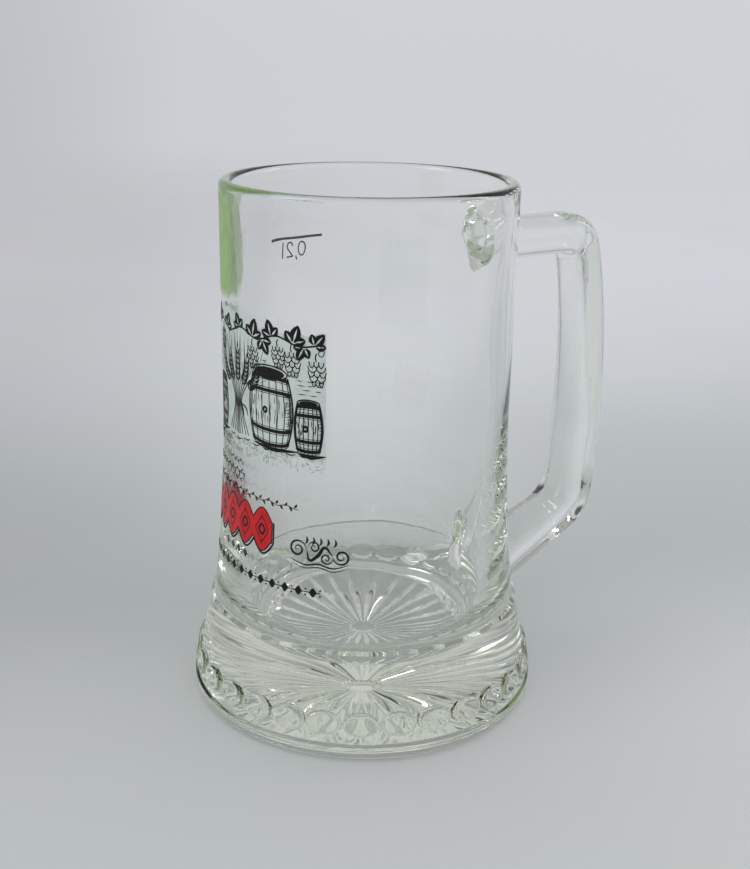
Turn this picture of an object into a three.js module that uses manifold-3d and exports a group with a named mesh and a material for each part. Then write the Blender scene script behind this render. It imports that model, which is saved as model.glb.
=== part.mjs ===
// Glass beer mug for 0.2 litre, millimetres, +Z up, standing on its foot with the handle towards +X.
// The vessel is pressed glass with a star under the foot, the handle is a second piece of glass that
// is fused on at two lands, and the decoration is fired enamel on the outside of the wall.
import * as THREE from 'three';
import { mergeVertices } from 'three/addons/utils/BufferGeometryUtils.js';
import Module from 'manifold-3d';

const wasm = await Module();
wasm.setup();

// Vessel, outside
const mugHeight = 115.5;
const rimRadius = 31.5;
const wallRadius = 31.4;
const flareTopHeight = 69;
const shoulderHeight = 23.4;
const shoulderRadius = 34.15;
const shoulderStep = 0.5;
const coneTopGap = 1.2;
const flangeRadius = 39.1;
const flangeHeight = 3.7;
const flangeEdgeRadius = 2.2;
const flangeDraft = 0.1;
const flangeTopEdge = 0.5;
const coneFootRadius = 38.7;

// Vessel, inside
const rimThickness = 2.7;
const floorHeight = 14.5;
const wellRadius = 27.7;
const floorDiscRadius = 20.1;
const wellCornerSlopeDegrees = 25;

// Pearl ring round the foot
const pearlCount = 30;
const pearlHeight = 8.1;
const pearlWidth = 7.8;
const pearlTallness = 5.4;
const pearlStandOut = 0.6;

// Star under the foot
const bearingRingWidth = 2.1;
const starRadius = flangeRadius - flangeEdgeRadius - bearingRingWidth;
const starRecess = 0.9;
const starDepth = 1.1;
const starButtonRadius = 1.8;
const starButtonFootRadius = 2.9;
const starButtonDrop = 0.5;
const starScoopPower = 8;
const starRings = [0.2, 0.45, 0.7, 0.88, 0.97, 1];

// Handle, seen from its side
const handleWidth = 12;
const handleEdgeRounding = 2.8;
const handleTop = 104.7;
const topArmThickness = 9.2;
const topOuterCornerRadius = 7;
const topInnerCornerRadius = 2.6;
const handleReach = 67.9;
const gripTopSetback = 7;
const gripBowHeight = 79;
const gripWidestHeight = 50;
const gripTopThickness = 4.7;
const gripMiddleThickness = 9.3;
const gripWideThickness = 10.3;
const gripLowThickness = 9.1;
const lowerCornerSetback = 2.1;
const lowerOuterCornerHeight = 28;
const lowerOuterCornerRadius = 7;
const lowerArmSlope = 0.51;
const lowerInnerCornerHeight = 34.2;
const lowerInnerCornerRadius = 6.5;
const lowerArmTopSlope = 0.33;
const landReach = 6;
const topLandRise = 0.8;
const topLandDrop = 2;
const lowerLandRise = 5;
const lowerLandWidening = 3;
const armEmbed = 3;
const leastFlat = 0.2;

// Enamel. Its places round the vessel are in degrees from the handle.
const enamelThickness = 0.2;
const pictureStartDegrees = 154;
const pictureEndDegrees = 222;
const pictureBottom = 60.5;
const pictureTop = 91;
const pictureWave = 1.6;
const pictureLowerWaves = 3;
const pictureUpperWaves = 2;
const panelStartDegrees = 133;
const panelEndDegrees = 153;
const panelTopDrop = 2.5;
const panelTallness = 26;
const panelEndTallness = 8;
const ribbonStartDegrees = 150;
const ribbonEndDegrees = 200;
const ribbonHeight = 46;
const ribbonWidth = 9.5;
const ribbonNeck = 4.2;
const ribbonLozenges = 5;
const scrollStartDegrees = 208;
const scrollEndDegrees = 232;
const scrollHeight = 43.5;
const scrollSwing = 2.4;
const scrollWidth = 1.1;
const bandStartDegrees = 153;
const bandEndDegrees = 221;
const bandHeight = 35;
const bandWidth = 3.2;
const bandNeck = 0.9;
const bandLozenges = 12;
const fillLineStartDegrees = 78;
const fillLineEndDegrees = 107;
const fillLineDrop = 16.9;
const fillLineWidth = 0.6;

// Clearances
const fusedGap = 0.3;
const enamelGap = 0.1;

// Facets
const wallSegments = 72;
const flutePoints = 4;
const curvePoints = 6;
const wellPoints = 5;
const rimSteps = 6;
const pearlSides = 10;
const pearlRings = 6;
const roundingSteps = 3;
const enamelStepDegrees = 3;
const scrollStepDegrees = 1.5;
const lozengeSteps = 4;
const pictureRows = 5;
const panelRows = 4;
const lozengeRows = 2;

const toRadians = THREE.MathUtils.degToRad;

function solidFrom(geometry) {
  const bare = geometry.index ? geometry.toNonIndexed() : geometry.clone();
  bare.deleteAttribute('normal');
  bare.deleteAttribute('uv');
  const welded = mergeVertices(bare, 1e-5);
  const mesh = new wasm.Mesh({
    numProp: 3,
    vertProperties: new Float32Array(welded.attributes.position.array),
    triVerts: new Uint32Array(welded.index.array),
  });
  return new wasm.Manifold(mesh);
}

function geometryFrom(solid) {
  const mesh = solid.getMesh();
  const geometry = new THREE.BufferGeometry();
  geometry.setAttribute('position', new THREE.BufferAttribute(mesh.vertProperties, 3));
  geometry.setIndex(new THREE.BufferAttribute(mesh.triVerts, 1));
  geometry.computeVertexNormals();
  return geometry;
}

function lathe(points, segments = wallSegments) {
  const geometry = new THREE.LatheGeometry(points, segments);
  geometry.rotateX(Math.PI / 2);
  return geometry;
}

// The outer line of the vessel from the edge of the foot up to the top of the wall. The grow value
// moves the whole line outwards, for what has to stay clear of the glass.
function outerLine(grow = 0) {
  const line = new THREE.Path();
  const edge = flangeEdgeRadius;
  const edgeMiddle = edge * (1 - Math.SQRT1_2);
  const coneTop = shoulderHeight - coneTopGap;
  line.moveTo(flangeRadius - edge + grow, 0);
  line.lineTo(flangeRadius - edgeMiddle + grow, edgeMiddle);
  line.lineTo(flangeRadius + grow, edge);
  line.lineTo(flangeRadius - flangeDraft + grow, flangeHeight - flangeTopEdge);
  line.lineTo(coneFootRadius + grow, flangeHeight);
  line.lineTo(shoulderRadius + shoulderStep + grow, coneTop);
  line.lineTo(shoulderRadius + shoulderStep / 2 + grow, shoulderHeight - coneTopGap / 3);
  line.lineTo(shoulderRadius + grow, shoulderHeight);
  line.quadraticCurveTo(
    wallRadius + grow, (shoulderHeight + flareTopHeight) / 2,
    wallRadius + grow, flareTopHeight,
  );
  return line.getPoints(curvePoints);
}

function radiusOnLine(line, height) {
  for (let i = 1; i < line.length; i += 1) {
    const low = line[i - 1];
    const high = line[i];
    if (height >= low.y && height <= high.y && high.y > low.y) {
      return low.x + ((high.x - low.x) * (height - low.y)) / (high.y - low.y);
    }
  }
  return line.at(-1).x;
}

const vesselLine = outerLine();
const rimRound = rimThickness / 2;
vesselLine.push(new THREE.Vector2(rimRadius, mugHeight - rimRound));

function wallRadiusAt(height) {
  return radiusOnLine(vesselLine, height);
}

// Outer line, half round rim, then the inner line down to the flat disc of the well's floor, which
// the round corner meets at a slope.
function vesselProfile() {
  const profile = [new THREE.Vector2(0, 0), ...vesselLine];
  const rimCentre = rimRadius - rimRound;
  for (let i = 1; i <= rimSteps; i += 1) {
    const turn = (Math.PI * i) / rimSteps;
    profile.push(new THREE.Vector2(
      rimCentre + rimRound * Math.cos(turn),
      mugHeight - rimRound + rimRound * Math.sin(turn),
    ));
  }
  const slope = toRadians(wellCornerSlopeDegrees);
  const corner = (wellRadius - floorDiscRadius) / (1 - Math.sin(slope));
  const cornerHeight = floorHeight + corner * Math.cos(slope);
  const well = new THREE.Path();
  well.moveTo(wellRadius, cornerHeight);
  well.absarc(wellRadius - corner, cornerHeight, corner, 0, slope - Math.PI / 2, true);
  profile.push(...well.getPoints(wellPoints), new THREE.Vector2(0, floorHeight));
  return profile;
}

// One pearl is a flat ellipsoid whose middle lies on the cone of the foot, tilted with it.
function pearlRing() {
  const pearls = [];
  const radius = wallRadiusAt(pearlHeight);
  const half = pearlTallness / 2;
  const lean = Math.atan2(
    wallRadiusAt(pearlHeight - half) - wallRadiusAt(pearlHeight + half), pearlTallness,
  );
  for (let i = 0; i < pearlCount; i += 1) {
    const pearl = new THREE.SphereGeometry(1, pearlSides, pearlRings);
    pearl.rotateZ(-Math.PI / 2);
    pearl.scale(pearlStandOut, pearlWidth / 2, half);
    pearl.rotateY(-lean);
    pearl.translate(radius, 0, pearlHeight);
    pearl.rotateZ((2 * Math.PI * (i + 0.5)) / pearlCount);
    pearls.push(solidFrom(pearl));
  }
  return wasm.Manifold.union(pearls);
}

// Height of the glass under the foot. Grooves run out from the button and get wider and deeper with
// the radius, and each ends in a rounded scoop inside the bearing ring.
function starHeight(radius, share) {
  const scoop = Math.sqrt(Math.max(0, 1 - (radius / starRadius) ** starScoopPower));
  const groove = Math.sin(Math.PI * share);
  return starRecess + starDepth * (radius / starRadius) * groove * scoop;
}

// The space under the foot: a fan of triangles at the button, rings of grooves, and a flat cap below.
function starSpace() {
  const columns = pearlCount * flutePoints;
  const belowFoot = -1;
  const positions = [0, 0, starRecess - starButtonDrop];
  const addRing = (radius, heightOf) => {
    for (let i = 0; i < columns; i += 1) {
      const turn = (2 * Math.PI * i) / columns;
      const share = (i % flutePoints) / flutePoints;
      positions.push(radius * Math.cos(turn), radius * Math.sin(turn), heightOf(radius, share));
    }
  };
  addRing(starButtonRadius, () => starRecess - starButtonDrop);
  addRing(starButtonFootRadius, () => starRecess);
  for (const share of starRings) addRing(share * starRadius, starHeight);
  addRing(starRadius, () => belowFoot);
  positions.push(0, 0, belowFoot);

  const ringCount = starRings.length + 3;
  const last = 1 + ringCount * columns;
  const index = [];
  for (let i = 0; i < columns; i += 1) {
    const next = (i + 1) % columns;
    index.push(0, 1 + i, 1 + next);
    for (let ring = 0; ring < ringCount - 1; ring += 1) {
      const near = 1 + ring * columns;
      const far = near + columns;
      if (i % flutePoints < flutePoints / 2) {
        index.push(near + i, far + i, far + next, near + i, far + next, near + next);
      } else {
        index.push(near + i, far + i, near + next, far + i, far + next, near + next);
      }
    }
    const rim = last - columns;
    index.push(last, rim + next, rim + i);
  }
  const geometry = new THREE.BufferGeometry();
  geometry.setAttribute('position', new THREE.Float32BufferAttribute(positions, 3));
  geometry.setIndex(index);
  return solidFrom(geometry);
}

function vessel() {
  const blank = solidFrom(lathe(vesselProfile()));
  return geometryFrom(blank.add(pearlRing()).subtract(starSpace()));
}

const point = (x, y) => new THREE.Vector2(x, y);

// Rounds a corner with a stretch that starts and ends at the given distance from it.
function roundCorner(path, before, corner, after, distance) {
  const start = corner.clone().add(before.clone().sub(corner).setLength(distance));
  const end = corner.clone().add(after.clone().sub(corner).setLength(distance));
  path.lineTo(start.x, start.y);
  path.quadraticCurveTo(corner.x, corner.y, end.x, end.y);
  return end;
}

// An arm's edge swings from one height to another, at the given slope on the side of the arm.
function swing(path, start, end, startSlope = 0, endSlope = 0) {
  const half = (end.x - start.x) / 2;
  path.bezierCurveTo(
    start.x + half, start.y + startSlope * half,
    end.x - half, end.y - endSlope * half, end.x, end.y,
  );
}

// One side of the handle seen from its side, from the upper land round to the lower one.
function rail(side) {
  const path = new THREE.Path();
  path.moveTo(side.topLand.x, side.topLand.y);
  swing(path, side.topLand, side.topArm);
  roundCorner(path, side.topArm, side.topCorner, side.bow, side.topRadius);
  path.quadraticCurveTo(side.bow.x, side.bow.y, side.wide.x, side.wide.y);
  roundCorner(path, side.wide, side.lowCorner, side.lowArm, side.lowRadius);
  path.lineTo(side.lowArm.x, side.lowArm.y);
  swing(path, side.lowArm, side.lowLand, side.lowSlope);
  return path.getPoints(curvePoints);
}

// The outer and the finger side. The arms run on into the wall and are cut to it afterwards, and each
// spreads a little where the soft glass met the wall.
function handleRails() {
  const inWall = wallRadius - armEmbed;
  const landEnd = wallRadius + landReach;
  const lowLandEnd = shoulderRadius + landReach;
  const armBottom = handleTop - topArmThickness;

  const outerTop = point(handleReach - gripTopSetback, handleTop);
  const outerWide = point(handleReach, gripWidestHeight);
  const outerLow = point(handleReach - lowerCornerSetback, lowerOuterCornerHeight);
  const underArmAt = (x) => outerLow.y - lowerArmSlope * (outerLow.x - x);

  const innerTop = point(outerTop.x - gripTopThickness, armBottom);
  const innerWide = point(outerWide.x - gripWideThickness, gripWidestHeight);
  const innerLow = point(outerLow.x - gripLowThickness, lowerInnerCornerHeight);
  const overArmAt = (x) => innerLow.y - lowerArmTopSlope * (innerLow.x - x);
  const innerBow = point(
    2 * (handleReach - gripMiddleThickness) - (innerTop.x + innerWide.x) / 2,
    (innerTop.y + innerWide.y) / 2,
  );

  const outer = rail({
    topLand: point(inWall, handleTop + topLandRise),
    topArm: point(landEnd, handleTop),
    topCorner: outerTop,
    topRadius: topOuterCornerRadius,
    bow: point(handleReach, gripBowHeight),
    wide: outerWide,
    lowCorner: outerLow,
    lowRadius: lowerOuterCornerRadius,
    lowArm: point(lowLandEnd, underArmAt(lowLandEnd)),
    lowLand: point(inWall, underArmAt(inWall)),
    lowSlope: lowerArmSlope,
  });
  const inner = rail({
    topLand: point(inWall, armBottom - topLandDrop),
    topArm: point(landEnd, armBottom),
    topCorner: innerTop,
    topRadius: topInnerCornerRadius,
    bow: innerBow,
    wide: innerWide,
    lowCorner: innerLow,
    lowRadius: lowerInnerCornerRadius,
    lowArm: point(lowLandEnd, overArmAt(lowLandEnd)),
    lowLand: point(inWall, overArmAt(lowLandEnd) + lowerLandRise),
    lowSlope: lowerArmTopSlope,
  });
  return { outer, inner };
}

// A rounded oblong between a point of each rail, as wide as the handle there.
function handleSection(outer, inner, width) {
  const thickness = outer.distanceTo(inner);
  const rounding = Math.min(
    handleEdgeRounding, (thickness - leastFlat) / 2, (width - leastFlat) / 2,
  );
  const middle = outer.clone().add(inner).multiplyScalar(0.5);
  const across = outer.clone().sub(inner).normalize();
  const points = [];
  for (let corner = 0; corner < 4; corner += 1) {
    const onOuterSide = corner === 0 || corner === 3 ? 1 : -1;
    const onLeft = corner < 2 ? 1 : -1;
    for (let step = 0; step <= roundingSteps; step += 1) {
      const turn = (Math.PI / 2) * (corner + step / roundingSteps);
      const out = onOuterSide * (thickness / 2 - rounding) + rounding * Math.cos(turn);
      const left = onLeft * (width / 2 - rounding) + rounding * Math.sin(turn);
      points.push([middle.x + across.x * out, left, middle.y + across.y * out]);
    }
  }
  return points;
}

// The lower land is wider than the arm behind it.
function handleWidthAt(middle) {
  const away = (middle.x - shoulderRadius) / landReach;
  const near = middle.y < gripWidestHeight ? THREE.MathUtils.clamp(1 - away, 0, 1) : 0;
  return handleWidth + lowerLandWidening * near ** 2;
}

function handle() {
  const { outer, inner } = handleRails();
  const positions = [];
  for (let i = 0; i < outer.length; i += 1) {
    const middle = outer[i].clone().add(inner[i]).multiplyScalar(0.5);
    positions.push(...handleSection(outer[i], inner[i], handleWidthAt(middle)).flat());
  }
  const around = 4 * (roundingSteps + 1);
  const index = [];
  for (let i = 0; i < outer.length - 1; i += 1) {
    for (let j = 0; j < around; j += 1) {
      const a = i * around + j;
      const b = i * around + ((j + 1) % around);
      index.push(a, b + around, b, a, a + around, b + around);
    }
  }
  const end = (outer.length - 1) * around;
  for (let j = 1; j < around - 1; j += 1) {
    index.push(0, j, j + 1, end, end + j + 1, end + j);
  }
  const geometry = new THREE.BufferGeometry();
  geometry.setAttribute('position', new THREE.Float32BufferAttribute(positions, 3));
  geometry.setIndex(index);
  const clear = [point(0, 0), ...outerLine(fusedGap)];
  clear.push(point(rimRadius + fusedGap, mugHeight), point(0, mugHeight));
  return geometryFrom(solidFrom(geometry).subtract(solidFrom(lathe(clear))));
}

// A thin layer on the wall between two angles, whose lower and upper edges are functions of the
// share of the way along. It follows the wall's own line at the enamel gap.
function enamelLayer(startDegrees, endDegrees, stepDegrees, rows, bottomAt, topAt) {
  const columns = Math.ceil((endDegrees - startDegrees) / stepDegrees);
  const positions = [];
  for (const lift of [enamelGap, enamelGap + enamelThickness]) {
    for (let i = 0; i <= columns; i += 1) {
      const share = i / columns;
      const turn = toRadians(THREE.MathUtils.lerp(startDegrees, endDegrees, share));
      for (let j = 0; j <= rows; j += 1) {
        const height = THREE.MathUtils.lerp(bottomAt(share), topAt(share), j / rows);
        const radius = wallRadiusAt(height) + lift;
        positions.push(radius * Math.cos(turn), radius * Math.sin(turn), height);
      }
    }
  }
  const layer = (columns + 1) * (rows + 1);
  const at = (side, i, j) => side * layer + i * (rows + 1) + j;
  const index = [];
  const quad = (a, b, c, d) => index.push(a, b, c, a, c, d);
  for (let i = 0; i < columns; i += 1) {
    for (let j = 0; j < rows; j += 1) {
      quad(at(1, i, j), at(1, i + 1, j), at(1, i + 1, j + 1), at(1, i, j + 1));
      quad(at(0, i, j), at(0, i, j + 1), at(0, i + 1, j + 1), at(0, i + 1, j));
    }
    quad(at(0, i, 0), at(0, i + 1, 0), at(1, i + 1, 0), at(1, i, 0));
    quad(at(1, i, rows), at(1, i + 1, rows), at(0, i + 1, rows), at(0, i, rows));
  }
  for (let j = 0; j < rows; j += 1) {
    quad(at(0, 0, j), at(1, 0, j), at(1, 0, j + 1), at(0, 0, j + 1));
    quad(at(1, columns, j), at(0, columns, j), at(0, columns, j + 1), at(1, columns, j + 1));
  }
  const geometry = new THREE.BufferGeometry();
  geometry.setAttribute('position', new THREE.Float32BufferAttribute(positions, 3));
  geometry.setIndex(index);
  geometry.computeVertexNormals();
  return geometry;
}

// The pale ground of the picture, with wavy lower and upper edges.
function pictureGround() {
  const wave = (share, count) => pictureWave * Math.sin(Math.PI * share * count);
  return enamelLayer(
    pictureStartDegrees, pictureEndDegrees, enamelStepDegrees, pictureRows,
    (share) => pictureBottom + pictureWave + wave(share, pictureLowerWaves),
    (share) => pictureTop - pictureWave + wave(share, pictureUpperWaves),
  );
}

// A chain of lozenges that stay joined at their narrow necks.
function lozengeChain(startDegrees, endDegrees, height, width, neck, lozenges) {
  const halfAt = (share) => {
    const bulge = Math.abs(Math.sin(Math.PI * share * lozenges));
    return THREE.MathUtils.lerp(neck, width, bulge) / 2;
  };
  return enamelLayer(
    startDegrees, endDegrees, (endDegrees - startDegrees) / (lozenges * lozengeSteps), lozengeRows,
    (share) => height - halfAt(share),
    (share) => height + halfAt(share),
  );
}

function ribbon() {
  return lozengeChain(
    ribbonStartDegrees, ribbonEndDegrees, ribbonHeight, ribbonWidth, ribbonNeck, ribbonLozenges,
  );
}

function borderBand() {
  return lozengeChain(
    bandStartDegrees, bandEndDegrees, bandHeight, bandWidth, bandNeck, bandLozenges,
  );
}

function scrollLine() {
  const lineAt = (share) => scrollHeight + scrollSwing * Math.sin(2 * Math.PI * share);
  return enamelLayer(
    scrollStartDegrees, scrollEndDegrees, scrollStepDegrees, 1,
    (share) => lineAt(share) - scrollWidth / 2,
    (share) => lineAt(share) + scrollWidth / 2,
  );
}

// A tall leaf-shaped field below the rim that comes to a blunt side left and right.
function sidePanel() {
  const middle = mugHeight - panelTopDrop - panelTallness / 2;
  const halfAt = (share) => (
    THREE.MathUtils.lerp(panelEndTallness, panelTallness, Math.sin(Math.PI * share)) / 2
  );
  return enamelLayer(
    panelStartDegrees, panelEndDegrees, enamelStepDegrees, panelRows,
    (share) => middle - halfAt(share),
    (share) => middle + halfAt(share),
  );
}

function fillMark() {
  const middle = mugHeight - fillLineDrop;
  return enamelLayer(
    fillLineStartDegrees, fillLineEndDegrees, enamelStepDegrees, 1,
    () => middle - fillLineWidth / 2,
    () => middle + fillLineWidth / 2,
  );
}

const glass = { color: '#dfe8e2', roughness: 0.05, metalness: 0, transparent: true, opacity: 0.35 };
const pieces = [
  ['glass_body', vessel(), glass],
  ['handle', handle(), glass],
  ['enamel_picture_ground', pictureGround(), { color: '#d3ddd0', roughness: 0.45 }],
  ['enamel_side_panel', sidePanel(), { color: '#a9cd74', roughness: 0.4 }],
  ['enamel_ribbon', ribbon(), { color: '#c4232b', roughness: 0.4 }],
  ['enamel_scroll', scrollLine(), { color: '#1b1b1c', roughness: 0.45 }],
  ['enamel_border_band', borderBand(), { color: '#1b1b1c', roughness: 0.45 }],
  ['enamel_fill_line', fillMark(), { color: '#1b1b1c', roughness: 0.45 }],
];

// The frame's origin is under the middle of the whole outline, so the vessel stands beside it.
const mug = new THREE.Group();
mug.position.x = -(handleReach - flangeRadius) / 2;
for (const [name, geometry, look] of pieces) {
  const mesh = new THREE.Mesh(geometry, new THREE.MeshStandardMaterial({ metalness: 0, ...look }));
  mesh.name = name;
  mug.add(mesh);
}

const group = new THREE.Group();
group.add(mug);

export default group;
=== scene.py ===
import math

import bpy
import numpy as np
from mathutils import Matrix, Vector


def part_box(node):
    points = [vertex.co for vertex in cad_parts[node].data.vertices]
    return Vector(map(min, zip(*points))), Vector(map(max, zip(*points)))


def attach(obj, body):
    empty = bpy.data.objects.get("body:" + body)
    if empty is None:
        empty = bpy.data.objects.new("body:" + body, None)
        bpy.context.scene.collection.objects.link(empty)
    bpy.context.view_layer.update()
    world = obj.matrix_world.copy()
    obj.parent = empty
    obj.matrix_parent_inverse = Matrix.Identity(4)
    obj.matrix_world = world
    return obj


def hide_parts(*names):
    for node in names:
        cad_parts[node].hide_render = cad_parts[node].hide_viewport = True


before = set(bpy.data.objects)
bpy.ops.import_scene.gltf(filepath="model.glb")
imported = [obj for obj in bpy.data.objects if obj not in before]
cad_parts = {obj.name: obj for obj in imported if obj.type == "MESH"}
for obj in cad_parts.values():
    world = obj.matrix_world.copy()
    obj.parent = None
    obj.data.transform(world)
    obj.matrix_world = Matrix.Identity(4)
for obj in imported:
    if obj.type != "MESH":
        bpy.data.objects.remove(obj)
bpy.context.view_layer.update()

# Lengths are in millimetres up to the moment a mesh is made.
MM = 0.001

# Main sizes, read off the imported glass
GLASS_LOW, GLASS_HIGH = (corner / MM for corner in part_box("glass_body"))
HANDLE_LOW, HANDLE_HIGH = (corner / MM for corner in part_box("handle"))
FLANGE_RADIUS = (GLASS_HIGH.y - GLASS_LOW.y) / 2
AXIS_X = GLASS_LOW.x + FLANGE_RADIUS
MUG_HEIGHT = GLASS_HIGH.z
HANDLE_REACH = HANDLE_HIGH.x - AXIS_X

# Vessel, outside
RIM_RADIUS = 31.5
WALL_RADIUS = 31.4
FLARE_TOP = 69
SHOULDER_Z = 23.4
SHOULDER_RADIUS = 34.15
SHOULDER_STEP = 0.75
SHOULDER_CHAMFER = 0.55
CONE_TOP_Z = 22.5
FLANGE_HEIGHT = 3.7
FLANGE_ROUND = 2.2
FLANGE_LINE_Z = 2.35
FLANGE_LINE_DEPTH = 0.24
CONE_FOOT_RADIUS = 38.7

# Vessel, inside
RIM_THICKNESS = 2.7
FLOOR_Z = 14.5
WELL_RADIUS = 27.7
FLOOR_DISC_RADIUS = 20.1
WELL_CORNER_SLOPE = math.radians(25)
# Faint waves of the well's wall: depth, count round the wall, and turn for each millimetre up
WELL_WAVES = (0.06, 3, 0.09), (0.045, 7, -0.16)
WAVE_EASE = 12

# Pearls and star
PEARLS = 30
PATTERN_TURN = math.radians(2.5)
PEARL_Z = 8.1
PEARL_WIDTH = 7.9
PEARL_TALL = 5.4
PEARL_OUT = 1.0
PEARL_FLATNESS = 8
STAR_RADIUS = 34.8
STAR_RECESS = 0.9
STAR_DEPTH = 0.85
STAR_FULL_FROM = 0.3
STAR_FADE_FROM = 0.43
STAR_FADE_TO = 0.98
BUTTON_RADIUS = 1.8
BUTTON_FOOT_RADIUS = 2.9
BUTTON_DROP = 0.5

# Handle
HANDLE_WIDTH = 12
HANDLE_SQUARENESS = 3
SEAM_HEIGHT = 0.09
SEAM_WIDTH = 0.4
HANDLE_TOP = 104.7
ARM_THICKNESS = 9.2
GRIP_WIDEST_Z = 50
GRIP_THICKNESS = 10.3
GRIP_BOW_Z = 79
INNER_BOW_INSET = 9.3
LAND_REACH = 6
UPPER_LAND_SPREAD = 0.8
LOWER_LAND_SPREAD = 2.2
MELT_REACH = 2.6
ARM_EMBED = 1.6

# Direction from the mug to the camera
VIEW_AZIMUTH = math.radians(-123.5)

# Fineness of the vessel's mesh
COLUMNS = 420
ROW_STEP = 3.6


def mesh_piece(name, points, faces, crease=40):
    """A smooth mesh object from points in millimetres, sharp at turns beyond the crease."""
    mesh = bpy.data.meshes.new(name)
    mesh.from_pydata((np.asarray(points) * MM).tolist(), [], faces)
    mesh.validate()
    mesh.shade_smooth()
    mesh.set_sharp_from_angle(angle=math.radians(crease))
    piece = bpy.data.objects.new(name, mesh)
    bpy.context.scene.collection.objects.link(piece)
    return piece


def ring_faces(rings, count, first=0, flip=False):
    """Quads between neighbouring closed rings of points that follow each other."""
    faces = []
    for near in range(first, first + (rings - 1) * count, count):
        far = near + count
        for j in range(count):
            after = (j + 1) % count
            if flip:
                faces.append((near + j, far + j, far + after, near + after))
            else:
                faces.append((near + j, near + after, far + after, far + j))
    return faces


def tube_faces(rings, count, first=0, flip=False):
    """Quads between closed rings of points that follow each other, with a face over each end."""
    start = [first + j for j in range(count)]
    end = [point + (rings - 1) * count for point in start]
    caps = (start, end[::-1]) if flip else (start[::-1], end)
    return [*ring_faces(rings, count, first, flip), *caps]


def fan_faces(middle, first, count, flip=False):
    """Triangles between a middle point and a closed ring of points."""
    sides = [(first + j, first + (j + 1) % count) for j in range(count)]
    return [(middle, b, a) if flip else (middle, a, b) for a, b in sides]


def bezier(controls, steps):
    """Points of a Bezier curve, without its first."""
    share = np.linspace(0, 1, steps + 1)[1:, None]
    degree = len(controls) - 1
    return sum(
        math.comb(degree, k) * (1 - share) ** (degree - k) * share ** k * np.asarray(point, float)
        for k, point in enumerate(controls))


def filleted(corners, steps=5):
    """A line of points through corners (radius, height, fillet), each rounded by its fillet."""
    corners = [np.asarray(c, float) for c in corners]
    line = [corners[0][:2]]
    for before, corner, after in zip(corners, corners[1:], corners[2:]):
        if corner[2] == 0:
            line.append(corner[:2])
            continue
        back, ahead = before[:2] - corner[:2], after[:2] - corner[:2]
        start = corner[:2] + back * min(corner[2] / np.linalg.norm(back), 0.49)
        end = corner[:2] + ahead * min(corner[2] / np.linalg.norm(ahead), 0.49)
        line.append(start)
        line.extend(bezier([start, corner[:2], end], steps))
    line.append(corners[-1][:2])
    return line


def with_steps(line, longest):
    """The same line with extra points, so that no stretch is longer than the given length."""
    out = [np.asarray(line[0])]
    for start, end in zip(line, line[1:]):
        count = max(1, math.ceil(np.linalg.norm(np.subtract(end, start)) / longest))
        for i in range(1, count + 1):
            out.append(start + (end - start) * (i / count))
    return out


def outer_line():
    """Outside of the vessel from the flat bearing ring up to the start of the rim."""
    edge = [
        (FLANGE_RADIUS - FLANGE_ROUND * (1 - math.sin(turn)), FLANGE_ROUND * (1 - math.cos(turn)), 0)
        for turn in np.linspace(0, math.pi / 2, 10)]
    ledge = SHOULDER_RADIUS + SHOULDER_STEP
    foot = filleted([
        (STAR_RADIUS + 0.35, 0, 0),
        *edge,
        (FLANGE_RADIUS, FLANGE_LINE_Z - 0.18, 0),
        (FLANGE_RADIUS - FLANGE_LINE_DEPTH, FLANGE_LINE_Z, 0.08),
        (FLANGE_RADIUS - 0.02, FLANGE_LINE_Z + 0.2, 0),
        (FLANGE_RADIUS - 0.04, FLANGE_HEIGHT - 0.2, 0.35),
        (CONE_FOOT_RADIUS - 0.3, FLANGE_HEIGHT + 0.1, 0.15),
        (ledge, CONE_TOP_Z, 0),
        (ledge - SHOULDER_CHAMFER, CONE_TOP_Z + SHOULDER_CHAMFER, 0),
        (SHOULDER_RADIUS - 0.12, SHOULDER_Z - 0.1, 0.35),
        (SHOULDER_RADIUS - 0.08, SHOULDER_Z + 0.6, 0),
    ])
    flare = bezier(
        [foot[-1], (WALL_RADIUS, (SHOULDER_Z + FLARE_TOP) / 2), (WALL_RADIUS, FLARE_TOP)], 26)
    top = np.array((RIM_RADIUS, MUG_HEIGHT - RIM_THICKNESS / 2))
    return with_steps([*foot, *flare, top], ROW_STEP)


OUTER = outer_line()
OUTER_R = np.array([p[0] for p in OUTER])
OUTER_Z = np.array([p[1] for p in OUTER])


def wall_radius(z):
    """Outer radius of the wall above the flange."""
    above = OUTER_Z > FLANGE_HEIGHT
    return np.interp(z, OUTER_Z[above], OUTER_R[above])


def star_z(radius, turn):
    """Height of the glass under the foot: grooves that deepen from the button out and then fade."""
    share = radius / STAR_RADIUS
    groove = np.abs(np.sin((turn - PATTERN_TURN) * PEARLS / 2))
    scoop = np.sqrt(np.maximum(0, 1 - share ** 8))
    fade = np.clip((STAR_FADE_TO - share) / (STAR_FADE_TO - STAR_FADE_FROM), 0, 1)
    depth = np.minimum(1, share / STAR_FULL_FROM) * fade
    return STAR_RECESS + STAR_DEPTH * depth * groove * scoop


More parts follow.
